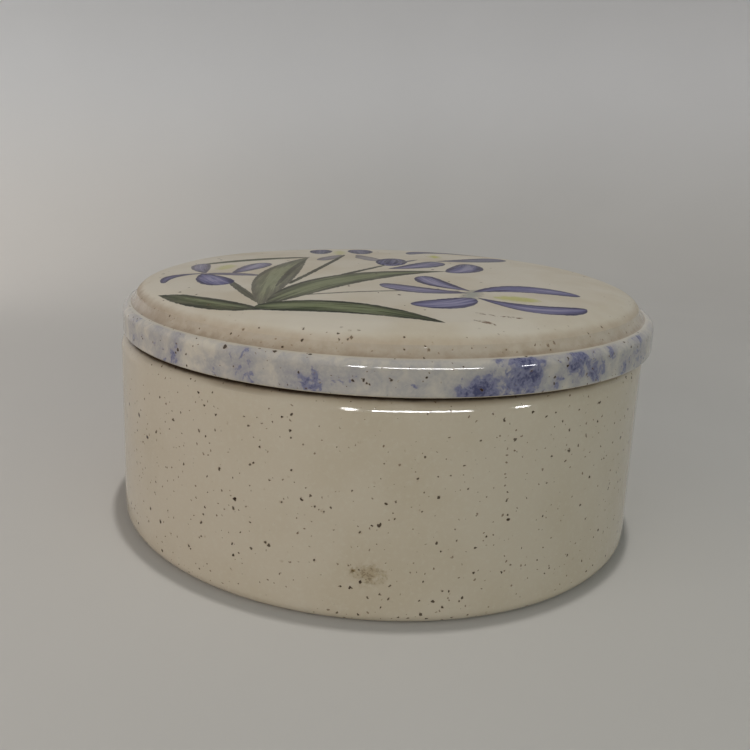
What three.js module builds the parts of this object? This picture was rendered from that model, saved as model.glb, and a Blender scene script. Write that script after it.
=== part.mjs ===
// A covered butter crock: a low, wide pot of fired clay and the loose lid that drops into its mouth.
// Units are millimetres. +Z points up, the crock stands on z = 0 and its axis is the Z axis.

import * as THREE from 'three';

const SEGMENTS = 72; // facets round each turned shape
const ARC_STEP = 22.5; // degrees between points on a small radius
const FIT_GAP = 0.3; // between the rim and the lid's seat

// Crock
const WALL_RADIUS = 74.2; // outside of the side wall
const WALL_THICKNESS = 5.5;
const RIM_Z = 53.5; // top of the rim
const SHOULDER_RADIUS = 4; // outer rounding of the rim
const LIP_RADIUS = 1.2; // inner rounding of the rim
const HEEL_RADIUS = 3; // outer rounding at the foot
const FOOT_OUTER = WALL_RADIUS - HEEL_RADIUS;
const FOOT_INNER = 63; // the foot is a flat ring
const FOOT_DEPTH = 1.2; // how far the middle of the base is lifted off the table
const FLOOR_Z = 6.5; // inside floor
const FLOOR_FILLET = 7; // between the inside floor and the wall

// Lid
const LID_RADIUS = 74.9;
const LID_SHIFT = 1.35; // the loose lid sits this far off the crock's axis, along +X
const SEAT_Z = RIM_Z + FIT_GAP; // underside of the lid's ring
const RING_HEIGHT = 8.1;
const RING_EDGE_RADIUS = 2; // outer upper rounding of the ring
const RING_FOOT_RADIUS = 1; // outer lower rounding of the ring
const RING_LAND_RADIUS = 72.8; // where the ring's top ends and the step begins
const STEP_RADIUS = 70.8; // side of the raised plateau
const STEP_HEIGHT = 2.6;
const PLATEAU_SHOULDER_RADIUS = 64;
const PLATEAU_SHOULDER_HEIGHT = 6;
const CROWN_HEIGHT = 9.1; // middle of the dome, above the ring's top
const FLANGE_OUTER = 65.5; // locating flange that hangs inside the mouth
const FLANGE_THICKNESS = 5.5;
const FLANGE_DEPTH = 6.5; // below the seat
const FLANGE_FILLET = 2;
const CEILING_EDGE_DROP = 1.6; // the hollow underneath is this much lower at its edge
const PLATE_THICKNESS = 5.6; // at the middle of the lid

const RING_TOP_Z = SEAT_Z + RING_HEIGHT;

const crockGlaze = new THREE.MeshStandardMaterial({ color: 0xcfc6b4, roughness: 0.15, metalness: 0 });
const lidGlaze = new THREE.MeshStandardMaterial({ color: 0xd2ccba, roughness: 0.15, metalness: 0 });

// Points on a circular arc in the profile plane, from one angle to another, in degrees.
function arc(centreR, centreZ, radius, from, to) {
  const steps = Math.max(2, Math.round(Math.abs(to - from) / ARC_STEP));
  const points = [];
  for (let i = 0; i <= steps; i++) {
    const angle = THREE.MathUtils.degToRad(from + ((to - from) * i) / steps);
    points.push([centreR + radius * Math.cos(angle), centreZ + radius * Math.sin(angle)]);
  }
  return points;
}

// A body turned about Z from a profile of [radius, z] points that starts and ends on the axis.
function turned(profile) {
  const points = profile.map(([radius, z]) => new THREE.Vector2(radius, z));
  const geometry = new THREE.LatheGeometry(points, SEGMENTS);
  geometry.rotateX(Math.PI / 2);
  return geometry;
}

// From the middle of the base, out round the foot, up the wall, over the rim and down inside.
function crockProfile() {
  const inside = WALL_RADIUS - WALL_THICKNESS;
  return [
    [0, FOOT_DEPTH],
    [FOOT_INNER - FOOT_DEPTH, FOOT_DEPTH],
    [FOOT_INNER, 0],
    ...arc(FOOT_OUTER, HEEL_RADIUS, HEEL_RADIUS, -90, 0),
    ...arc(WALL_RADIUS - SHOULDER_RADIUS, RIM_Z - SHOULDER_RADIUS, SHOULDER_RADIUS, 0, 90),
    ...arc(inside + LIP_RADIUS, RIM_Z - LIP_RADIUS, LIP_RADIUS, 90, 180),
    ...arc(inside - FLOOR_FILLET, FLOOR_Z + FLOOR_FILLET, FLOOR_FILLET, 0, -90),
    [0, FLOOR_Z],
  ];
}

// The dome of the plateau, from its middle to its shoulder, as a flat parabola.
function plateauTop() {
  const fall = CROWN_HEIGHT - PLATEAU_SHOULDER_HEIGHT;
  const points = [];
  for (const share of [0, 0.35, 0.7, 0.88, 1]) {
    points.push([PLATEAU_SHOULDER_RADIUS * share, RING_TOP_Z + CROWN_HEIGHT - fall * share ** 2]);
  }
  return points;
}

// From the middle of the underside, down and round the flange, out along the seat and over the top.
function lidProfile() {
  const hollow = FLANGE_OUTER - FLANGE_THICKNESS;
  const ceiling = RING_TOP_Z + CROWN_HEIGHT - PLATE_THICKNESS;
  const tip = SEAT_Z - FLANGE_DEPTH;
  const tipRadius = FLANGE_THICKNESS / 2;
  return [
    [0, ceiling],
    [hollow * 0.6, ceiling - CEILING_EDGE_DROP * 0.36],
    ...arc(hollow - FLANGE_FILLET, ceiling - CEILING_EDGE_DROP - FLANGE_FILLET, FLANGE_FILLET, 90, 0),
    ...arc(hollow + tipRadius, tip + tipRadius, tipRadius, 180, 360),
    [FLANGE_OUTER, SEAT_Z],
    ...arc(LID_RADIUS - RING_FOOT_RADIUS, SEAT_Z + RING_FOOT_RADIUS, RING_FOOT_RADIUS, -90, 0),
    ...arc(LID_RADIUS - RING_EDGE_RADIUS, RING_TOP_Z - RING_EDGE_RADIUS, RING_EDGE_RADIUS, 0, 90),
    [RING_LAND_RADIUS - 0.6, RING_TOP_Z + 0.2],
    [STEP_RADIUS + 0.6, RING_TOP_Z + 1.3],
    [STEP_RADIUS, RING_TOP_Z + STEP_HEIGHT],
    [STEP_RADIUS - 0.9, RING_TOP_Z + STEP_HEIGHT + 1],
    [STEP_RADIUS - 2.8, RING_TOP_Z + STEP_HEIGHT + 2.1],
    ...plateauTop().reverse(),
  ];
}

function crock() {
  const mesh = new THREE.Mesh(turned(crockProfile()), crockGlaze);
  mesh.name = 'crock';
  return mesh;
}

function lid() {
  const mesh = new THREE.Mesh(turned(lidProfile()), lidGlaze);
  mesh.name = 'lid';
  mesh.position.x = LID_SHIFT;
  return mesh;
}

const butterCrock = new THREE.Group();
butterCrock.add(crock(), lid());

export default butterCrock;
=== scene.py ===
"""The looks of a covered stoneware butter crock: cream glaze, a sponged blue rim and painted irises.

Lengths are in millimetres, scaled to metres where a mesh, lamp or camera is made.
"""

import math

import bpy
import numpy as np
from mathutils import Euler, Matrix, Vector


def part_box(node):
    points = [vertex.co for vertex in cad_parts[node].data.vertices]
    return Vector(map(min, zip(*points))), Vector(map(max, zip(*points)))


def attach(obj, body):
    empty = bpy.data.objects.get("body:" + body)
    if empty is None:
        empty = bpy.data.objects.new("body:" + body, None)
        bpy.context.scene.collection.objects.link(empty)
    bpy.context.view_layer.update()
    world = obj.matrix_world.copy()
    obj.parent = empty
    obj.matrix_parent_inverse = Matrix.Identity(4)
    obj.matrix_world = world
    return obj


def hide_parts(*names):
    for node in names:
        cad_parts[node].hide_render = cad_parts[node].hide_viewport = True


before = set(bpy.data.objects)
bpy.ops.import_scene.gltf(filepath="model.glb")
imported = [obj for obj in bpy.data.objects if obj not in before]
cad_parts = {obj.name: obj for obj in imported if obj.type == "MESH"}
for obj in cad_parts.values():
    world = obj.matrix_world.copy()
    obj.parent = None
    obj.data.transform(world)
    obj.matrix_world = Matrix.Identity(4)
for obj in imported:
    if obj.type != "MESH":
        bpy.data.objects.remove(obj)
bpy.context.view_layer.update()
MM = 0.001

# ---------------------------------------------------------------- sizes

CROCK_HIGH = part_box("crock")[1] / MM
LID_LOW, LID_HIGH = (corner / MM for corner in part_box("lid"))

WALL_RADIUS = CROCK_HIGH.x
WALL_THICKNESS = 5.5
RIM_Z = CROCK_HIGH.z
SHOULDER_RADIUS = 4
LIP_RADIUS = 1.2
RIM_BAND = 4  # how far the rim's glaze reaches down the inside
HEEL_RADIUS = 3
FOOT_INNER = 63
FOOT_DEPTH = 1.2
FLOOR_Z = 6.5
FLOOR_FILLET = 7

LID_X = (LID_LOW.x + LID_HIGH.x) / 2
LID_RADIUS = (LID_HIGH.x - LID_LOW.x) / 2
LID_TOP = LID_HIGH.z
FLANGE_TIP = LID_LOW.z
CROWN_HEIGHT = 9.1
RING_TOP = LID_TOP - CROWN_HEIGHT
SEAT_GAP = 0.3
SEAT_Z = RIM_Z + SEAT_GAP
RING_EDGE_RADIUS = 2
RING_FOOT_RADIUS = 1
RING_LAND_RADIUS = 72.8
STEP_RADIUS = 70.8
PLATEAU_SHOULDER_RADIUS = 64
PLATEAU_SHOULDER_HEIGHT = 6
FLANGE_OUTER = 65.5
FLANGE_THICKNESS = 5.5
FLANGE_FILLET = 2
LID_THICKNESS = 5.6
CEILING_Z = LID_TOP - LID_THICKNESS
CEILING_EDGE_DROP = 1.6

# Where one glaze gives way to the next, in degrees on the arcs of the heel, the shoulder and the ring.
HEEL_GLAZE_END = -70
RIM_GLAZE_START = 30
SEAT_GLAZE_END = -40

SEGMENTS = 360
TOUCHING = 0.001


# ---------------------------------------------------------------- turned meshes


class Profile:
    """A turned outline, drawn as a pen moves. Each stretch of it has a material's number."""

    def __init__(self, radius, z):
        self.points = [(radius, z)]
        self.materials = []

    def add(self, points, material):
        self.points += points
        self.materials += [material] * len(points)

    def line(self, radius, z, material, step=1.2):
        r0, z0 = self.points[-1]
        count = max(1, round(math.hypot(radius - r0, z - z0) / step))
        shares = [(i + 1) / count for i in range(count)]
        self.add([(r0 + (radius - r0) * s, z0 + (z - z0) * s) for s in shares], material)

    def arc(self, centre, radius, start, end, material, step=0.3):
        """An arc between two angles in degrees, after a straight line to its start."""
        x, z = centre
        count = max(2, round(radius * math.radians(abs(end - start)) / step))
        angles = [math.radians(start + (end - start) * i / count) for i in range(count + 1)]
        first, *rest = [(x + radius * math.cos(a), z + radius * math.sin(a)) for a in angles]
        if math.dist(first, self.points[-1]) > TOUCHING:
            self.line(*first, material)
        self.add(rest, material)

    def curve(self, points, material, step=0.3):
        """A smooth curve from here through the points."""
        knots = np.array([self.points[-1], *points], float)
        padded = np.vstack([2 * knots[0] - knots[1], knots, 2 * knots[-1] - knots[-2]])
        for a, b, c, d in zip(padded, padded[1:], padded[2:], padded[3:]):
            count = max(1, round(np.linalg.norm(c - b) / step))
            for i in range(1, count + 1):
                t = i / count
                spot = 0.5 * (2 * b + (c - a) * t + (2 * a - 5 * b + 4 * c - d) * t**2)
                spot += 0.5 * (3 * b - 3 * c + d - a) * t**3
                self.add([tuple(spot)], material)


def turned(name, profile, centre_x, materials, wobble):
    """A closed body turned about an upright axis, made slightly uneven by wobble(angle, radius, z).

    The profile starts and ends on the axis. Its first and last points are the two poles.
    """
    outline = np.array(profile.points)
    inner = outline[1:-1]
    angles = np.linspace(0, 2 * math.pi, SEGMENTS, endpoint=False)
    a = np.repeat(angles, len(inner))
    r, z = np.tile(inner, (SEGMENTS, 1)).T
    dr, dz = wobble(a, r, z)
    spots = np.column_stack([(r + dr) * np.cos(a), (r + dr) * np.sin(a), z + dz])
    poles = np.array([[0, 0, outline[0][1]], [0, 0, outline[-1][1]]])
    spots = np.vstack([spots, poles]) + [centre_x, 0, 0]

    rows = len(inner)
    first, last = len(a), len(a) + 1
    faces = []
    for column in range(SEGMENTS):
        here, there = column * rows, (column + 1) % SEGMENTS * rows
        faces.append((first, there, here))
        faces += [(here + row, there + row, there + row + 1, here + row + 1) for row in range(rows - 1)]
        faces.append((here + rows - 1, there + rows - 1, last))
    piece = smooth_object(name, spots, faces, materials)
    piece.data.polygons.foreach_set("material_index", profile.materials * SEGMENTS)
    return piece


def smooth_object(name, spots, faces, materials):
    """An object with a smooth mesh, from its vertices in millimetres."""
    mesh = bpy.data.meshes.new(name)
    mesh.from_pydata((np.array(spots) * MM).tolist(), [], faces)
    mesh.polygons.foreach_set("use_smooth", [True] * len(faces))
    for material in materials:
        mesh.materials.append(material)
    mesh.update()
    piece = bpy.data.objects.new(name, mesh)
    bpy.context.collection.objects.link(piece)
    return piece


# ---------------------------------------------------------------- node helpers


def linear(red, green, blue):
    """A colour from 0 to 255 as a picture shows it, in linear light."""
    parts = [c / 255 for c in (red, green, blue)]
    return tuple(c / 12.92 if c <= 0.04045 else ((c + 0.055) / 1.055) ** 2.4 for c in parts) + (1.0,)


class Shader:
    """A node tree that is written like a formula. Values are numbers, tuples or output sockets."""

    def __init__(self, tree):
        self.tree = tree

    def node(self, kind, out=0, inputs=(), **settings):
        node = self.tree.nodes.new(kind)
        for key, value in settings.items():
            setattr(node, key, value)
        for key, value in dict(inputs).items():
            self.join(value, node.inputs[key])
        return node.outputs[out]

    def join(self, value, socket):
        if isinstance(value, bpy.types.NodeSocket):
            self.tree.links.new(value, socket)
        else:
            socket.default_value = value

    def math(self, operation, *values):
        return self.node("ShaderNodeMath", inputs=dict(enumerate(values)), operation=operation)

    def times(self, one, other):
        return self.math("MULTIPLY", one, other)

    def centred(self, share):
        """A share from 0 to 1, as its difference from a half."""
        return self.math("SUBTRACT", share, 0.5)

    def vector(self, operation, *values):
        return self.node("ShaderNodeVectorMath", inputs=dict(enumerate(values)), operation=operation)

    def scaled(self, vector, factor):
        inputs = {"Vector": vector, "Scale": factor}
        return self.node("ShaderNodeVectorMath", inputs=inputs, operation="SCALE")

    def length(self, vector):
        return self.node("ShaderNodeVectorMath", out="Value", inputs={0: vector}, operation="LENGTH")

    def combine(self, x, y, z):
        return self.node("ShaderNodeCombineXYZ", inputs={"X": x, "Y": y, "Z": z})

    def parts(self, vector):
        node = self.tree.nodes.new("ShaderNodeSeparateXYZ")
        self.join(vector, node.inputs[0])
        return node.outputs

    def ramp(self, value, start, end, low=0.0, high=1.0):
        """A smooth step from low to high as value goes from start to end."""
        inputs = {"Value": value, "From Min": start, "From Max": end, "To Min": low, "To Max": high}
        return self.node("ShaderNodeMapRange", inputs=inputs, interpolation_type="SMOOTHSTEP")

    def blend(self, factor, under, over):
        """The colour under, with the colour over laid on it by factor."""
        node = self.tree.nodes.new("ShaderNodeMix")
        node.data_type = "RGBA"
        for value, index in ((factor, 0), (under, 6), (over, 7)):
            self.join(value, node.inputs[index])
        return node.outputs[2]

    def noise(self, vector, scale, detail=2.0, roughness=0.5, distortion=0.0):
        inputs = {"Vector": vector, "Scale": scale, "Detail": detail}
        inputs.update({"Roughness": roughness, "Distortion": distortion})
        return self.node("ShaderNodeTexNoise", inputs=inputs)


class Coating(Shader):
    """A fired surface: colour, roughness and height in millimetres, changed layer by layer."""

    def __init__(self, name, centre_x, colour):
        self.material = bpy.data.materials.new(name)
        self.material.use_nodes = True
        super().__init__(self.material.node_tree)
        self.tree.nodes.clear()
        metres = self.node("ShaderNodeTexCoord", out="Object")
        self.spot = self.vector("SUBTRACT", self.scaled(metres, 1 / MM), (centre_x, 0.0, 0.0))
        self.x, self.y, self.z = self.parts(self.spot)
        self.flat = self.combine(self.x, self.y, 0.0)
        self.radius = self.length(self.flat)
        self.colour = colour
        self.rough = 0.12
        self.height = 0.0

    def lay(self, factor, colour):
        self.colour = self.blend(factor, self.colour, colour)

    def roughen(self, factor, rough):
        inputs = {"Value": factor, "To Min": self.rough, "To Max": rough}
        self.rough = self.node("ShaderNodeMapRange", inputs=inputs)

    def raise_by(self, factor, height):
        self.height = self.math("MULTIPLY_ADD", factor, height, self.height)

    def done(self, ior=1.5):
        """The material, with its layers joined to a shader."""
        shader = self.tree.nodes.new("ShaderNodeBsdfPrincipled")
        self.join(self.colour, shader.inputs["Base Color"])
        self.join(self.rough, shader.inputs["Roughness"])
        shader.inputs["IOR"].default_value = ior
        bump = self.node("ShaderNodeBump", inputs={"Height": self.height, "Distance": MM})
        self.tree.links.new(bump, shader.inputs["Normal"])
        output = self.tree.nodes.new("ShaderNodeOutputMaterial")
        self.tree.links.new(shader.outputs[0], output.inputs["Surface"])
        return self.material


# ---------------------------------------------------------------- glaze and clay

CREAM = linear(206, 195, 176)
CREAM_PALE = linear(212, 204, 189)
CREAM_THIN = linear(197, 184, 161)
CREAM_GREY = linear(192, 187, 178)
CREAM_THICK = linear(211, 204, 187)
IRON = linear(50, 31, 17)
IRON_FAINT = linear(112, 88, 66)
IRON_HALO = linear(160, 134, 102)
OCHRE = linear(158, 136, 98)
BLOOM_BROWN = linear(98, 80, 50)
TOASTED = linear(176, 155, 130)
# Brown of the cove's bottom corner: partly thin glaze, partly painted shade in the hollow.
COVE_CORNER_BROWN_AND_SHADE = linear(160, 144, 124)
STEP_BROWN = linear(138, 118, 98)
# Faint brown on the rim: partly thin glaze, partly painted shade under the lid's ring.
RIM_BROWN_AND_SHADE = linear(104, 82, 62)
# Painted shadow: the dark line in the gap under the lid's ring.
RIM_GAP_SHADOW = linear(52, 40, 30)
BARE_CLAY = linear(172, 150, 122)
BARE_CLAY_DARK = linear(140, 116, 90)
COBALT_WASH = linear(168, 165, 167)
COBALT = linear(118, 120, 152)
COBALT_DEEP = linear(68, 70, 108)
LEAF_EDGE = linear(34, 40, 24)
LEAF_MIDDLE = linear(70, 79, 49)
LEAF_LIGHT = linear(120, 129, 92)
PETAL_EDGE = linear(64, 61, 93)
PETAL_MIDDLE = linear(107, 105, 144)
PETAL_LIGHT = linear(152, 149, 178)
PETAL_FADED = linear(96, 96, 101)
THROAT_EDGE = linear(92, 98, 96)
THROAT_MIDDLE = linear(138, 144, 140)
EYE = linear(188, 187, 104)
FLECK_BROWN = linear(104, 72, 44)


# The least and the most roughness of the glaze, and the plateau's index of refraction.
GLOSS = (0.05, 0.09)
PLATEAU_GLOSS = (0.5, 0.58)
PLATEAU_IOR = 1.33


def mottle(coat, gloss=GLOSS, grain=0.008, thin=CREAM_THIN):
    """Slow changes in the glaze's depth, a fine cloudiness, and its slightly rippled gloss.

    grain is the height of the cloudiness, and thin is the colour where the glaze is thin.
    """
    slow = coat.noise(coat.spot, scale=0.045, detail=3.0)
    coat.lay(coat.ramp(slow, 0.38, 0.68, high=0.6), thin)
    fine = coat.noise(coat.spot, scale=0.9, detail=4.0, roughness=0.65)
    coat.lay(coat.ramp(fine, 0.45, 0.8, high=0.5), CREAM_THICK)
    ripple = coat.noise(coat.spot, scale=0.11, detail=1.0)
    coat.raise_by(ripple, 0.12)
    coat.raise_by(fine, grain)
    coat.rough = coat.ramp(fine, 0.3, 0.7, *gloss)


# Layers of iron specks: the size of a cell, the smallest and largest radius, the share of cells left
# bare, the colour, its strength, and how far the halo reaches.
GLAZE_SPECKS = [
    (1.8, 0.12, 0.31, 0.2, IRON_FAINT, 0.85, 0.0),
    (2.3, 0.16, 0.37, 0.12, IRON, 0.96, 0.12),
    (4.2, 0.3, 0.52, 0.4, IRON, 1.0, 0.25),
]
PLATEAU_SPECKS = [
    (3.1, 0.14, 0.34, 0.86, IRON, 0.96, 0.12),
    (5.6, 0.3, 0.52, 0.55, IRON, 1.0, 0.25),
]
STEP_SPECKS = (2.0, 0.1, 0.34, 0.3, IRON, 0.9, 0.2)


def specks(coat, cell, smallest, largest, bare_share, colour, strength, halo, where=1.0):
    """Iron specks: one to a cell of space, cut by the surface, so that their sizes vary."""
    inputs = {"Vector": coat.spot, "Scale": 1.3, "Detail": 1.0}
    jitter = coat.node("ShaderNodeTexNoise", out="Color", inputs=inputs)
    wavy = coat.vector("ADD", coat.spot, coat.scaled(jitter, 0.9))
    voronoi = coat.tree.nodes.new("ShaderNodeTexVoronoi")
    coat.join(wavy, voronoi.inputs["Vector"])
    voronoi.inputs["Scale"].default_value = 1 / cell
    distance = coat.times(voronoi.outputs["Distance"], cell)
    chance, tone, _ = coat.parts(voronoi.outputs["Color"])
    sizes = {"Value": chance, "From Min": bare_share, "To Min": smallest, "To Max": largest}
    size = coat.node("ShaderNodeMapRange", inputs=sizes, clamp=False)
    crowd = coat.ramp(coat.noise(coat.spot, scale=0.14, detail=1.0), 0.35, 0.6, low=0.75, high=1.1)
    present = coat.times(coat.math("GREATER_THAN", chance, bare_share), where)
    depth = coat.math("SUBTRACT", coat.times(size, crowd), distance)
    if halo:
        coat.lay(coat.times(coat.ramp(depth, -halo, 0.0, high=0.3), present), IRON_HALO)
    spot = coat.times(coat.ramp(depth, -0.04, 0.08), present)
    dark = coat.math("MULTIPLY_ADD", tone, 0.2, 0.8)
    coat.lay(coat.times(coat.times(spot, dark), strength), colour)
    coat.raise_by(spot, 0.015)


def speckle(coat, layers=GLAZE_SPECKS):
    for layer in layers:
        specks(coat, *layer)


def bare(coat, where):
    """Unglazed clay, toasted where the glaze stops, over the part of the surface that where marks."""
    grain = coat.noise(coat.spot, scale=2.6, detail=5.0, roughness=0.7)
    clay = coat.blend(coat.ramp(grain, 0.35, 0.7), BARE_CLAY_DARK, BARE_CLAY)
    edge = coat.times(coat.ramp(where, 0.05, 0.5), coat.ramp(where, 0.95, 0.5))
    inside = coat.ramp(where, 0.45, 0.55)
    coat.lay(inside, clay)
    coat.lay(coat.times(edge, 0.8), TOASTED)
    coat.roughen(inside, 0.75)
    coat.raise_by(coat.times(coat.centred(grain), inside), 0.12)
    coat.raise_by(inside, -0.08)


# Brown iron blooms on the wall: the angle in degrees, the height, half the width, half the height and
# the strength.
BLOOMS = [
    (-89.3, 12.6, 4.2, 2.9, 0.5),
    (-91.8, 13.4, 0.8, 0.6, 1.0),
    (64, 30, 3.2, 2.2, 0.35),
]


def bloom(coat, angle, z, across, up, strength):
    turn = math.radians(angle)
    centre = (WALL_RADIUS * math.cos(turn), WALL_RADIUS * math.sin(turn), z)
    offset = coat.vector("SUBTRACT", coat.spot, centre)
    squeezed = coat.vector("DIVIDE", offset, (across, across, up))
    away = coat.length(squeezed)
    ragged = coat.noise(coat.spot, scale=0.45, detail=4.0, roughness=0.7)
    near = coat.math("MULTIPLY_ADD", ragged, 1.8, coat.math("SUBTRACT", away, 0.9))
    inside = coat.ramp(near, 1.1, 0.2)
    grit = coat.ramp(coat.noise(coat.spot, scale=1.5, detail=3.0, roughness=0.6), 0.48, 0.62)
    coat.lay(coat.times(inside, strength), OCHRE)
    coat.lay(coat.times(coat.times(grit, inside), strength), BLOOM_BROWN)


def crock_outside():
    """The wall, with its blooms and a toasted line where the glaze stops at the foot."""
    coat = Coating("crock_glaze_outside", 0.0, CREAM)
    mottle(coat)
    for shape in BLOOMS:
        bloom(coat, *shape)
    speckle(coat)
    coat.lay(coat.ramp(coat.z, 1.4, 0.5, high=0.5), TOASTED)
    return coat.done()


def crock_inside():
    """The inside, where the glaze pools on the floor."""
    coat = Coating("crock_glaze_inside", 0.0, CREAM)
    mottle(coat)
    coat.lay(coat.ramp(coat.z, FLOOR_Z + 9, FLOOR_Z + 1, high=0.45), CREAM_THICK)
    speckle(coat)
    return coat.done()


def crock_rim():
    """The rim: faint brown, partly painted shade, and a painted shadow line round the bare band where the
    lid sits.
    """
    coat = Coating("crock_rim", 0.0, CREAM)
    mottle(coat)
    speckle(coat)
    slow = coat.noise(coat.spot, scale=0.04, detail=2.0)
    run = coat.math("MULTIPLY_ADD", slow, 3.0, coat.z)
    # Faint brown towards the rim: partly thin glaze, partly painted shade under the lid's overhanging
    # ring.
    coat.lay(coat.ramp(run, RIM_Z - 0.8, RIM_Z + 1.0, high=0.5), RIM_BROWN_AND_SHADE)
    ragged = coat.times(coat.noise(coat.spot, scale=0.35, detail=3.0), 0.4)
    edge = coat.math("ADD", coat.z, ragged)
    # Painted shadow: a dark line just under the rim's top, where the gap under the lid's ring is.
    coat.lay(coat.ramp(edge, RIM_Z - 1.0, RIM_Z - 0.3, high=0.95), RIM_GAP_SHADOW)
    bare(coat, coat.ramp(edge, RIM_Z, RIM_Z + 0.2))
    return coat.done()


def crock_base():
    """The underside: a bare foot ring round a thinly glazed middle."""
    coat = Coating("crock_base", 0.0, CREAM)
    mottle(coat)
    speckle(coat)
    ragged = coat.times(coat.noise(coat.spot, scale=0.22, detail=3.0), 2.4)
    outer = coat.math("ADD", coat.radius, ragged)
    bare(coat, coat.ramp(outer, FOOT_INNER - 1.5, FOOT_INNER + 0.6))
    return coat.done()


def step_stain_and_shade(coat):
    """The brown thin glaze in the step round the plateau, darkest on the left; partly painted shade in
    its corner.
    """
    ragged = coat.times(coat.noise(coat.spot, scale=0.35, detail=4.0, roughness=0.6), 1.6)
    reach = coat.math("ADD", coat.radius, ragged)
    outer = coat.ramp(coat.radius, RING_LAND_RADIUS - 0.05, RING_LAND_RADIUS - 0.45)
    cloud = coat.noise(coat.spot, scale=0.2, detail=5.0, roughness=0.65)
    depth = coat.times(outer, coat.ramp(cloud, 0.35, 0.65, low=0.6, high=1.0))
    thin = coat.ramp(reach, STEP_RADIUS - 1.4, STEP_RADIUS + 0.8, high=0.6)
    coat.lay(coat.times(thin, depth), TOASTED)
    left = coat.ramp(coat.x, -35.0, -68.0, high=0.75)
    coat.lay(coat.times(coat.times(thin, depth), left), STEP_BROWN)
    # A brown band in the cove's bottom corner: partly thin glaze, partly painted shade in the hollow.
    cove_corner = coat.ramp(reach, STEP_RADIUS + 1.0, STEP_RADIUS + 2.4)
    coat.lay(coat.times(cove_corner, depth), COVE_CORNER_BROWN_AND_SHADE)
    around = coat.ramp(coat.radius, STEP_RADIUS - 5, STEP_RADIUS - 1)
    specks(coat, *STEP_SPECKS, where=coat.times(around, outer))


def sponged(coat):
    """Cobalt dabbed on with a sponge. The mesh says how strongly each part of the ring was dabbed."""
    dab = coat.node("ShaderNodeAttribute", out="Fac", attribute_name="dab")
    broad = coat.noise(coat.spot, scale=0.26, detail=4.0, roughness=0.6, distortion=0.5)
    clumps = coat.noise(coat.spot, scale=0.42, detail=2.5, roughness=0.6, distortion=0.8)
    pores = coat.noise(coat.spot, scale=1.6, detail=3.0)
    wet = coat.math("MULTIPLY_ADD", coat.centred(broad), 1.8, dab)
    clumped = coat.math("MULTIPLY_ADD", coat.centred(clumps), 2.4, wet)
    thin = coat.ramp(pores, 0.3, 0.6, low=0.75)
    on_ring = coat.ramp(coat.radius, RING_LAND_RADIUS - 0.2, RING_LAND_RADIUS + 1.0)
    washed = coat.times(coat.ramp(wet, -0.35, 0.7), on_ring)
    coat.lay(coat.times(washed, thin), COBALT_WASH)
    coat.lay(coat.ramp(wet, 0.5, 1.4, high=0.55), COBALT)
    coat.lay(coat.times(coat.ramp(clumped, 0.72, 1.05, high=0.88), thin), COBALT)
    mottled = coat.math("MULTIPLY_ADD", coat.centred(pores), 1.2, clumped)
    coat.lay(coat.ramp(mottled, 1.05, 1.8, high=0.92), COBALT_DEEP)


def lid_ring():
    """The lid's overhanging ring, paler than the crock and sponged with cobalt."""
    coat = Coating("lid_glaze_ring", LID_X, CREAM_PALE)
    mottle(coat, thin=CREAM_GREY)
    sponged(coat)
    speckle(coat)
    step_stain_and_shade(coat)
    return coat.done()


def lid_seat():
    """The underside of the ring, wiped bare up to its outer edge."""
    coat = Coating("lid_seat", LID_X, CREAM)
    mottle(coat)
    speckle(coat)
    ragged = coat.times(coat.noise(coat.spot, scale=0.4, detail=3.0), 1.6)
    reach = coat.math("ADD", coat.radius, ragged)
    bare(coat, coat.ramp(reach, LID_RADIUS + 0.1, LID_RADIUS - 1.0))
    return coat.done()


def lid_underside():
    """The flange and the hollow that it rings, glazed like the inside of the crock."""
    coat = Coating("lid_glaze_underside", LID_X, CREAM)
    mottle(coat)
    speckle(coat)
    return coat.done()


# ---------------------------------------------------------------- the painted irises

PAINTS = LEAF, PETAL, THROAT, EYE_MARK, FLECK = range(5)

# How fast a stroke widens from its start and narrows to its end: 0.5 is round, and 1 or more is pointed.
TAPERED = (0.7, 1.0)
LANCE = (1.2, 1.3)
EARLY = (0.4, 0.85)
LATE = (0.85, 0.42)
POINTED = (0.6, 0.75)
OVAL = (0.5, 0.5)
THREAD = (0.12, 0.25)

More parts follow.
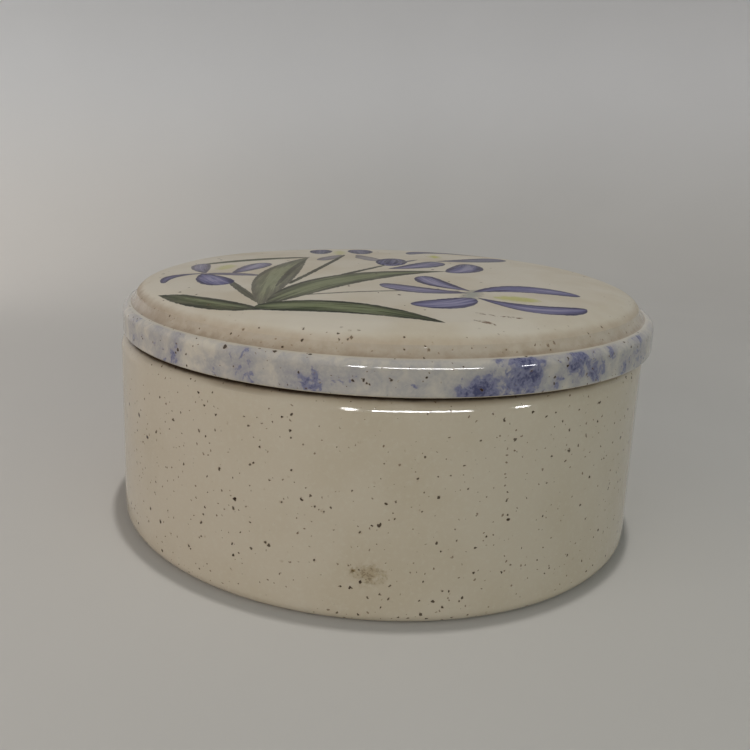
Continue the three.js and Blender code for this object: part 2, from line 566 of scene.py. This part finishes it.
# Each stroke: its paint, taper, how much paint, start and end in plan, how far it bows to its left, and
# half its width. A later stroke covers the ones before it.
STROKES = [
    # the iris at the back, left of the middle
    (PETAL, OVAL, 1.0, (-21.5, 55), (-20, 31), 0.0, 3.9),
    (PETAL, OVAL, 1.0, (-8, 58), (-6.5, 32), 0.0, 4.3),
    (EYE_MARK, OVAL, 0.5, (-14.5, 48), (-13.5, 27), 0.0, 2.8),
    (PETAL, LATE, 0.7, (-13, 28), (-18.5, 10.5), 0.0, 2.8),
    (PETAL, LATE, 0.7, (-8, 29), (-1, 11), -0.5, 2.9),
    # the iris at the back, right of the middle
    (PETAL, LATE, 1.0, (37, 49.5), (9, 38), -11.5, 4.6),
    (EYE_MARK, OVAL, 0.9, (17.3, 26), (17.8, 38.5), 0.0, 2.5),
    (PETAL, LATE, 0.95, (17, 17), (40.5, 43), -3.0, 4.6),
    (PETAL, OVAL, 0.95, (19.5, -7), (27, 14.5), -2.0, 4.6),
    (PETAL, LATE, 0.65, (2, 8), (-7.5, 22), 0.0, 2.7),
    (PETAL, LATE, 0.95, (2, -5), (17.8, 15), -2.2, 4.2),
    (PETAL, OVAL, 1.0, (4, 19.5), (2.3, 1), 0.0, 4.7),
    (PETAL, OVAL, 1.0, (3.8, 17), (2.5, 3.5), 0.0, 2.2),
    (PETAL, POINTED, 0.8, (5, 8), (11.5, 19), 0.0, 0.9),
    # stems
    (LEAF, THREAD, 0.9, (-24, -30), (-12, 28), -1.5, 0.8),
    (LEAF, THREAD, 0.9, (-14, -22), (1, 2), -0.5, 0.9),
    (LEAF, THREAD, 0.7, (-23, -44), (20, -32.5), 1.0, 0.5),
    (LEAF, POINTED, 0.85, (-28.5, -51), (-43.5, -19), 0.2, 1.2),
    # the iris on the left
    (LEAF, OVAL, 0.9, (-56.5, 6), (-22.8, 19), 1.8, 2.5),
    (EYE_MARK, OVAL, 0.5, (-46.5, -7), (-45.5, 4), 0.0, 3.4),
    (PETAL, LATE, 0.8, (-50, -12), (-55.5, 9), 0.8, 3.0),
    (PETAL, LATE, 0.85, (-42, -14), (-35, 5.5), -0.6, 3.9),
    (PETAL, POINTED, 0.8, (-50, -12.5), (-32, -18.5), 0.4, 1.9),
    (PETAL, LATE, 0.95, (-48, -12.5), (-59.3, -24.5), -6.2, 2.2),
    (PETAL, LATE, 1.0, (-51, -12.5), (-41, -30), -0.5, 4.5),
    # the iris on the right
    (EYE_MARK, OVAL, 0.75, (27.5, -37), (39.5, -36.6), 0.0, 3.4),
    (THROAT, OVAL, 0.65, (20.5, -43), (24.5, -29.5), 0.0, 3.0),
    (PETAL, LATE, 0.95, (22.5, -31.5), (11, -15.3), 2.4, 4.0),
    (PETAL, LATE, 0.9, (22, -34), (-0.3, -28.8), 2.4, 3.6),
    (PETAL, OVAL, 1.0, (23, -40), (7.2, -49), 2.1, 4.3),
    (PETAL, LATE, 1.0, (23, -33), (51, -25.5), 4.8, 4.2),
    (PETAL, LATE, 1.0, (23.5, -38.5), (49.3, -41.5), -5.4, 3.9),
    # leaves
    (LEAF, LANCE, 0.78, (-28, -55), (-22.8, 20.7), 3.1, 5.5),
    (LEAF, TAPERED, 0.86, (-27, -34), (-22.8, 19), 0.3, 0.9),
    (LEAF, TAPERED, 0.9, (-27, -51), (19, -4.6), 7.2, 5.9),
    (LEAF, TAPERED, 0.95, (-27.4, -56.4), (-57.4, -36.2), 1.6, 3.3),
    (LEAF, EARLY, 1.0, (-29.5, -53.5), (14.2, -62.5), 4.4, 5.1),
    # iron flecks in the glaze
    (FLECK, POINTED, 0.7, (21.5, -52.8), (26.5, -54.8), 0.0, 0.6),
    (FLECK, POINTED, 1.0, (27, -54.6), (33, -54.9), 0.0, 0.6),
    (FLECK, POINTED, 0.8, (20.5, -58.8), (25.5, -60.8), 0.0, 0.7),
]


# How far outside the stroke a point past either end counts as, and how far apart the strokes' grain is.
PAST_END = 5.0
GRAIN_STEP = 37.0


def stroke_group():
    """A node group that gives a point's place in one stroke: how deep inside, along and across.

    Its input runs from 0 to 1 along the stroke, and is in millimetres across it.
    """
    tree = bpy.data.node_groups.new("brush_stroke", "ShaderNodeTree")
    tree.interface.new_socket("Local", in_out="INPUT", socket_type="NodeSocketVector")
    for name in ("Bow", "Width", "Start Power", "End Power"):
        tree.interface.new_socket(name, in_out="INPUT", socket_type="NodeSocketFloat")
    for name in ("Depth", "Along", "Across"):
        tree.interface.new_socket(name, in_out="OUTPUT", socket_type="NodeSocketFloat")
    group = Shader(tree)
    given = tree.nodes.new("NodeGroupInput").outputs
    along, side, _ = group.parts(given["Local"])
    left = group.math("SUBTRACT", 1.0, along)
    arch = group.times(group.times(along, left), 4.0)
    across = group.math("SUBTRACT", side, group.times(arch, given["Bow"]))
    rise = group.math("POWER", group.math("MAXIMUM", along, 0.0), given["Start Power"])
    fall = group.math("POWER", group.math("MAXIMUM", left, 0.0), given["End Power"])
    width = group.times(group.times(rise, fall), given["Width"])
    inside = group.math("SUBTRACT", width, group.math("ABSOLUTE", across))
    past = group.math("GREATER_THAN", group.math("ABSOLUTE", group.centred(along)), 0.5)
    depth = group.math("MULTIPLY_ADD", past, -PAST_END, inside)
    output = tree.nodes.new("NodeGroupOutput").inputs
    for value, name in ((depth, "Depth"), (along, "Along"), (across, "Across")):
        tree.links.new(value, output[name])
    return tree


def stroke(coat, group, taper, start, end, bow, half_width):
    """The depth, along and across of a point in one stroke, and the stroke's length."""
    step = Vector(end) - Vector(start)
    place = coat.tree.nodes.new("ShaderNodeMapping")
    place.vector_type = "TEXTURE"
    coat.join(coat.flat, place.inputs["Vector"])
    place.inputs["Location"].default_value = (*start, 0)
    place.inputs["Rotation"].default_value = (0, 0, math.atan2(step.y, step.x))
    place.inputs["Scale"].default_value = (step.length, 1, 1)
    first, last = taper
    peak = first / (first + last)
    full = peak**first * (1 - peak) ** last
    node = coat.tree.nodes.new("ShaderNodeGroup")
    node.node_tree = group
    coat.tree.links.new(place.outputs[0], node.inputs["Local"])
    settings = {"Bow": bow, "Width": half_width / full, "Start Power": first, "End Power": last}
    for name, value in settings.items():
        node.inputs[name].default_value = value
    return node.outputs["Depth"], node.outputs["Along"], node.outputs["Across"], step.length


def lay_strokes(coat, shaky):
    """Lays every stroke in turn. Gives the place in the top one, and how much there is of each paint."""
    group = stroke_group()
    place = coat.combine(-1.0, 0.0, 0.0)
    paint = dict.fromkeys(PAINTS, 0.0)
    for number, (kind, taper, ink, *shape) in enumerate(STROKES):
        depth, along, across, length = stroke(coat, group, taper, *shape)
        inside = coat.ramp(coat.math("ADD", depth, shaky), -0.12, 0.12)
        far_along = coat.math("MULTIPLY_ADD", along, length, number * GRAIN_STEP)
        mix = coat.tree.nodes.new("ShaderNodeMix")
        mix.data_type = "VECTOR"
        covered = coat.math("GREATER_THAN", inside, 0.5)
        for value, index in ((covered, 0), (place, 4), (coat.combine(depth, far_along, across), 5)):
            coat.join(value, mix.inputs[index])
        place = mix.outputs[1]
        left = coat.math("SUBTRACT", 1.0, inside)
        for other, amount in paint.items():
            kept = 0.0 if isinstance(amount, float) else coat.times(amount, left)
            if other == kind:
                kept = coat.math("MULTIPLY_ADD", inside, ink, kept)
            paint[other] = kept
    return coat.parts(place), paint


def brush_colours(coat, depth, hairs):
    """The leaves', petals' and throats' colours: dark at a stroke's edge and streaked in its middle."""
    spread = coat.centred(hairs)
    light = coat.ramp(coat.math("MULTIPLY_ADD", spread, 11.0, depth), 2.2, 4.0, high=0.85)
    middle = coat.ramp(coat.math("MULTIPLY_ADD", spread, 6.5, depth), 0.4, 2.1)
    leaf = coat.blend(light, coat.blend(middle, LEAF_EDGE, LEAF_MIDDLE), LEAF_LIGHT)
    petal = coat.blend(light, coat.blend(middle, PETAL_EDGE, PETAL_MIDDLE), PETAL_LIGHT)
    petal = coat.blend(coat.ramp(coat.y, -5.0, 25.0, high=0.55), petal, PETAL_FADED)
    return leaf, petal, coat.blend(middle, THROAT_EDGE, THROAT_MIDDLE)


def painted(coat):
    """The irises: every stroke laid in turn, then coloured with one brush."""
    shaky = coat.math("MULTIPLY_ADD", coat.noise(coat.spot, scale=0.7, detail=3.0), 0.8, -0.4)
    (depth, along, across), paint = lay_strokes(coat, shaky)
    hairs_at = coat.combine(coat.times(along, 0.06), coat.times(across, 0.9), 0.0)
    hairs = coat.noise(hairs_at, scale=1.0, detail=4.0, roughness=0.65)
    leaf, petal, throat = brush_colours(coat, depth, hairs)
    thin = coat.ramp(hairs, 0.35, 0.65, low=1.0, high=0.9)
    soft = coat.ramp(coat.math("MULTIPLY_ADD", shaky, 4.0, depth), -0.5, 2.4)
    broken = coat.ramp(coat.noise(coat.spot, scale=1.1, detail=3.0), 0.42, 0.6)
    coat.lay(coat.times(paint[EYE_MARK], soft), EYE)
    coat.lay(coat.times(paint[PETAL], thin), petal)
    coat.lay(coat.times(paint[THROAT], soft), throat)
    coat.lay(coat.times(paint[LEAF], thin), leaf)
    coat.lay(coat.times(paint[FLECK], broken), FLECK_BROWN)


def lid_top():
    """The plateau, satin under its painting."""
    coat = Coating("lid_glaze_painted", LID_X, CREAM_PALE)
    mottle(coat, gloss=PLATEAU_GLOSS, grain=0.001)
    painted(coat)
    speckle(coat, PLATEAU_SPECKS)
    step_stain_and_shade(coat)
    return coat.done(ior=PLATEAU_IOR)


# ---------------------------------------------------------------- the pieces

WAVES_ROUND = (2, 3, 5, 8)
WAVE_CLIMB = 23


def hand_made(amount, seed):
    """A wobble of a few slow waves round and up a turned piece, none of it on the axis."""
    draw = np.random.default_rng(seed)
    waves = [(k, draw.uniform(0, 2 * math.pi), draw.uniform(0.5, 1.0) / k) for k in WAVES_ROUND]

    def wobble(angle, radius, z):
        out = sum(size * np.sin(k * angle + phase + z / WAVE_CLIMB) for k, phase, size in waves)
        up = sum(size * np.cos(k * angle + phase * 2) for k, phase, size in waves)
        share = np.clip(radius / WALL_RADIUS, 0, 1) ** 2
        return amount * out * share, 0.3 * amount * up * share

    return wobble


def crock_outline():
    """From the middle of the underside up the wall, over the rim and down to the middle of the floor."""
    outside, inside, rim, base = range(4)
    hollow = WALL_RADIUS - WALL_THICKNESS
    heel = (WALL_RADIUS - HEEL_RADIUS, HEEL_RADIUS)
    shoulder = (WALL_RADIUS - SHOULDER_RADIUS, RIM_Z - SHOULDER_RADIUS)
    lip = (hollow + LIP_RADIUS, RIM_Z - LIP_RADIUS)
    outline = Profile(0, FOOT_DEPTH)
    outline.line(FOOT_INNER - FOOT_DEPTH - 0.6, FOOT_DEPTH, base, step=1.6)
    outline.curve([(FOOT_INNER - 0.8, 0.5), (FOOT_INNER + 0.4, 0)], base)
    outline.arc(heel, HEEL_RADIUS, -90, HEEL_GLAZE_END, base)
    outline.arc(heel, HEEL_RADIUS, HEEL_GLAZE_END, 0, outside)
    outline.arc(shoulder, SHOULDER_RADIUS, 0, RIM_GLAZE_START, outside)
    outline.arc(shoulder, SHOULDER_RADIUS, RIM_GLAZE_START, 90, rim)
    outline.arc(lip, LIP_RADIUS, 90, 180, rim)
    outline.line(hollow, RIM_Z - RIM_BAND, rim)
    outline.arc((hollow - FLOOR_FILLET, FLOOR_Z + FLOOR_FILLET), FLOOR_FILLET, 0, -90, inside, step=0.6)
    outline.line(0, FLOOR_Z, inside, step=1.6)
    return outline


def make_crock():
    materials = [crock_outside(), crock_inside(), crock_rim(), crock_base()]
    crock = turned("crock_pot", crock_outline(), 0.0, materials, hand_made(0.09, seed=3))
    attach(crock, "crock")
    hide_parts("crock")


# Dabs of the sponge round the ring: the angle in degrees, half the dab's width, its strength, its
# height on the ring from 0 at the bottom to 1 at the top, and half its height.
DABS = [
    (-160, 5, 0.4, 0.5, 0.8),
    (-147, 5, 0.45, 0.5, 0.9),
    (-135, 4, 0.55, 0.5, 0.8),
    (-130, 1.8, 0.85, 0.5, 1.0),
    (-120, 2.6, 0.6, 0.2, 0.4),
    (-113.5, 4, 0.65, 0.5, 0.7),
    (-102, 4.5, 0.85, 0.3, 0.45),
    (-94, 1.6, 0.6, 0.6, 0.3),
    (-85, 7, 0.32, 0.6, 0.8),
    (-73, 4.5, 1.6, 0.2, 0.38),
    (-65.5, 4.3, 1.35, 0.65, 0.8),
    (-59, 1.3, 1.1, 0.3, 0.3),
    (-54, 3, 1.3, 0.7, 0.45),
    (-50, 2.6, 1.1, 0.45, 0.5),
    (-45, 1.4, 1.1, 0.75, 0.3),
    (-40, 2.6, 0.8, 0.35, 0.4),
    (-33, 4, 0.9, 0.6, 0.6),
    (-20, 4, 0.6, 0.5, 0.6),
    (-13, 2.5, 1.1, 0.3, 0.4),
    (-5, 5, 0.9, 0.6, 0.6),
    (8, 6, 0.5, 0.6, 0.8),
    (19, 3, 1.3, 0.4, 0.5),
    (25, 4, 0.9, 0.7, 0.5),
    (37, 6, 0.6, 0.4, 0.6),
    (47, 2, 1.1, 0.6, 0.4),
    (54, 4, 0.8, 0.4, 0.6),
    (66, 6, 0.45, 0.5, 0.8),
    (76, 4, 1.2, 0.3, 0.4),
    (83, 4, 1.2, 0.7, 0.6),
    (95, 6, 0.6, 0.5, 0.7),
    (106, 2, 1.2, 0.7, 0.4),
    (113, 4, 0.8, 0.3, 0.5),
    (125, 6, 0.45, 0.5, 0.8),
    (134, 3, 1.2, 0.4, 0.5),
    (146, 5, 0.7, 0.6, 0.7),
    (157, 3, 1.3, 0.5, 0.6),
    (169, 5, 0.6, 0.4, 0.6),
    (181, 3, 1.0, 0.6, 0.5),
    (189, 4, 0.7, 0.4, 0.6),
]


def mark_dabs(lid):
    """Writes how strongly the sponge touched each vertex of the ring."""
    spots = np.empty(len(lid.data.vertices) * 3)
    lid.data.vertices.foreach_get("co", spots)
    x, y, z = spots.reshape(-1, 3).T / MM
    angle = np.degrees(np.arctan2(y, x - LID_X))
    up = (z - SEAT_Z) / (RING_TOP - SEAT_Z)
    total = np.zeros(len(angle))
    for centre, half, strength, height, half_height in DABS:
        turn = (angle - centre + 180) % 360 - 180
        reach = (turn / half) ** 2 + ((up - height) / half_height) ** 2
        total = np.maximum(total, strength * np.exp(-0.7 * reach))
    top = np.clip((np.hypot(x - LID_X, y) - RING_LAND_RADIUS) / 0.8, 0, 1)
    lid.data.attributes.new("dab", "FLOAT", "POINT").data.foreach_set("value", total * top)


def lid_outline():
    """From the middle of the hollow down the flange, round the ring and up to the plateau's middle."""
    top, ring, seat, underside = range(4)
    hollow = FLANGE_OUTER - FLANGE_THICKNESS
    tip_radius = FLANGE_THICKNESS / 2
    edge = CEILING_Z - CEILING_EDGE_DROP
    tip = (hollow + tip_radius, FLANGE_TIP + tip_radius)
    foot = (LID_RADIUS - RING_FOOT_RADIUS, SEAT_Z + RING_FOOT_RADIUS)
    shoulder = (LID_RADIUS - RING_EDGE_RADIUS, RING_TOP - RING_EDGE_RADIUS)
    outline = Profile(0, CEILING_Z)
    outline.curve([(hollow * 0.6, CEILING_Z - CEILING_EDGE_DROP * 0.6**2)], underside, step=1.8)
    outline.line(hollow - FLANGE_FILLET, edge, underside, step=1.8)
    outline.arc((hollow - FLANGE_FILLET, edge - FLANGE_FILLET), FLANGE_FILLET, 90, 0, underside)
    outline.arc(tip, tip_radius, 180, 360, underside)
    outline.line(FLANGE_OUTER, SEAT_Z - 0.8, underside, step=0.8)
    outline.curve([(FLANGE_OUTER + 0.3, SEAT_Z - 0.2), (FLANGE_OUTER + 1, SEAT_Z)], seat)
    outline.line(LID_RADIUS - RING_FOOT_RADIUS, SEAT_Z, seat, step=0.8)
    outline.arc(foot, RING_FOOT_RADIUS, -90, SEAT_GLAZE_END, seat, step=0.2)
    outline.arc(foot, RING_FOOT_RADIUS, SEAT_GLAZE_END, 0, ring, step=0.2)
    outline.line(LID_RADIUS, shoulder[1], ring, step=0.6)
    outline.arc(shoulder, RING_EDGE_RADIUS, 0, 90, ring, step=0.25)
    cove = [
        (RING_LAND_RADIUS - 0.6, RING_TOP + 0.2),
        (STEP_RADIUS + 0.6, RING_TOP + 1.3),
        (STEP_RADIUS, RING_TOP + 2.6),
    ]
    outline.curve(cove, ring)
    roll = [
        (STEP_RADIUS - 0.9, RING_TOP + 3.6),
        (STEP_RADIUS - 2.8, RING_TOP + 4.7),
        (PLATEAU_SHOULDER_RADIUS, RING_TOP + PLATEAU_SHOULDER_HEIGHT),
    ]
    outline.curve(roll, top, step=0.4)
    fall = CROWN_HEIGHT - PLATEAU_SHOULDER_HEIGHT
    dome = [(PLATEAU_SHOULDER_RADIUS * s, LID_TOP - fall * s**2) for s in (0.8, 0.6, 0.4, 0.2, 0.0)]
    outline.curve(dome, top, step=1.3)
    return outline


def make_lid():
    materials = [lid_top(), lid_ring(), lid_seat(), lid_underside()]
    lid = turned("lid_painted", lid_outline(), LID_X, materials, hand_made(0.07, seed=8))
    mark_dabs(lid)
    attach(lid, "lid")
    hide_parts("lid")


# ---------------------------------------------------------------- stage, light and camera

SWEEP_START = 420
SWEEP_RADIUS = 280
WALL_TOP = 480
STAGE_SEGMENTS = 96

FLOOR_RIGHT = (linear(196, 194, 190), linear(203, 201, 197))
# Painted light: the floor is lighter on the left, as if lit from that side.
FLOOR_LEFT_PAINTED_LIGHT = linear(219, 215, 210)
WALL_GREYS = (linear(226, 226, 227), linear(232, 232, 233))


def studio_paint():
    """Matt, slightly cloudy grey paint, lighter on the wall; painted light on the floor's left. Nodes
    work in metres.
    """
    material = bpy.data.materials.new("studio_paint")
    material.use_nodes = True
    paint = Shader(material.node_tree)
    shader = material.node_tree.nodes["Principled BSDF"]
    metres = paint.node("ShaderNodeTexCoord", out="Object")
    cloud = paint.noise(metres, scale=9.0, detail=3.0)
    x, _, z = paint.parts(metres)
    # Painted light: the floor turns lighter towards the left.
    floor_paint = paint.blend(paint.ramp(x, 0.05, -0.3), paint.blend(cloud, *FLOOR_RIGHT), FLOOR_LEFT_PAINTED_LIGHT)
    wall_paint = paint.blend(cloud, *WALL_GREYS)
    grey = paint.blend(paint.ramp(z, 0.0, 0.2), floor_paint, wall_paint)
    paint.join(grey, shader.inputs["Base Color"])
    shader.inputs["Roughness"].default_value = 0.8
    shader.inputs["Specular IOR Level"].default_value = 0.0
    return material


def make_stage():
    """A pale floor that sweeps up all round into a low wall, so every side has the same backdrop."""
    outline = [(radius, 0) for radius in (150, 300, SWEEP_START)]
    for turn in np.radians(range(10, 91, 10)):
        out, up = math.sin(turn), 1 - math.cos(turn)
        outline.append((SWEEP_START + SWEEP_RADIUS * out, SWEEP_RADIUS * up))
    outline.append((SWEEP_START + SWEEP_RADIUS, WALL_TOP))
    angles = np.linspace(0, 2 * math.pi, STAGE_SEGMENTS, endpoint=False)
    spots = [(r * math.cos(a), r * math.sin(a), z) for a in angles for r, z in outline]
    rows = len(outline)
    faces = []
    for column in range(STAGE_SEGMENTS):
        here, there = column * rows, (column + 1) % STAGE_SEGMENTS * rows
        faces.append((len(spots), here, there))
        faces += [(here + i, here + i + 1, there + i + 1, there + i) for i in range(rows - 1)]
    smooth_object("studio_floor", [*spots, (0, 0, 0)], faces, [studio_paint()])


LAMP_DISTANCE = 600
AIM_HEIGHT = 40


def area_light(name, azimuth, elevation, size, watts, distance=LAMP_DISTANCE, **settings):
    """A rectangular lamp aimed at the crock. Azimuth 0 is in front, and 90 is to the right.

    A mirrored lamp is a small window that shows only in the gloss, and the others only shed light.
    """
    mirrored = settings.get("mirrored", False)
    a, e = math.radians(azimuth), math.radians(elevation)
    away = Vector((math.sin(a) * math.cos(e), -math.cos(a) * math.cos(e), math.sin(e)))
    lamp = bpy.data.lights.new(name, "AREA")
    lamp.shape = "RECTANGLE"
    lamp.size, lamp.size_y = (side * MM for side in size)
    lamp.energy = watts
    lamp.color = settings.get("colour", (1, 1, 1))
    lamp.spread = math.radians(settings.get("spread", 180))
    light = bpy.data.objects.new(name, lamp)
    light.location = (away * distance + Vector((0, 0, AIM_HEIGHT))) * MM
    light.rotation_euler = away.to_track_quat("Z", "Y").to_euler()
    light.visible_camera = False
    light.visible_glossy = mirrored
    light.visible_diffuse = not mirrored
    bpy.context.collection.objects.link(light)
    return light


def light_backdrop():
    """A lamp behind the crock on the left, turned to light the wall further back."""
    warm = (1.0, 0.97, 0.95)
    lamp = area_light("wall_wash", -108, 14, (200, 150), 0.16, distance=500, colour=warm, spread=120)
    target = Vector((-330, 640, 60)) * MM
    lamp.rotation_euler = (lamp.location - target).to_track_quat("Z", "Y").to_euler()


def light_room():
    """An even, slightly cool light from all round."""
    world = bpy.data.worlds.new("soft_room")
    world.use_nodes = True
    background = world.node_tree.nodes["Background"]
    background.inputs["Color"].default_value = (0.96, 0.98, 1.0, 1)
    background.inputs["Strength"].default_value = 0.19
    bpy.context.scene.world = world


def make_lights():
    area_light("key", -40, 20, (520, 300), 0.33, colour=(1.0, 0.92, 0.86), spread=110)
    area_light("fill", 38, 20, (520, 260), 0.15, colour=(0.82, 1.0, 0.92), spread=110)
    area_light("ceiling", 95, 87.6, (80, 80), 16.0, distance=2500, colour=(1.0, 0.98, 0.95))
    light_backdrop()
    area_light("window_left", -8, 16, (50, 130), 0.7, mirrored=True)
    area_light("window_wide", 19, 16, (395, 75), 2.9, mirrored=True)
    area_light("window_right", 57.5, 14, (50, 65), 0.36, mirrored=True)
    light_room()


CAMERA_PLACE = (0, -239.3, 105.3)

# In degrees: how far the camera turns to the right, looks down and leans.
CAMERA_YAW, CAMERA_PITCH, CAMERA_ROLL = -6.03, 12.81, 0.97


def make_camera():
    """A camera in front and above. The shift stands for the photograph's crop."""
    camera = bpy.data.cameras.new("camera")
    camera.sensor_width = 36
    camera.lens = 39.06
    camera.shift_x = 0.1133
    camera.shift_y = -0.06
    camera.clip_start = 0.01
    body = bpy.data.objects.new("camera", camera)
    body.location = Vector(CAMERA_PLACE) * MM
    yaw, pitch, roll = (math.radians(a) for a in (CAMERA_YAW, CAMERA_PITCH, CAMERA_ROLL))
    look = Vector((math.sin(yaw) * math.cos(pitch), math.cos(yaw) * math.cos(pitch), -math.sin(pitch)))
    body.rotation_mode = "QUATERNION"
    body.rotation_quaternion = look.to_track_quat("-Z", "Y") @ Euler((0, 0, roll)).to_quaternion()
    bpy.context.collection.objects.link(body)
    bpy.context.scene.camera = body


make_camera()
make_crock()
make_lid()
make_stage()
make_lights()
bpy.context.scene.view_settings.view_transform = "Standard"
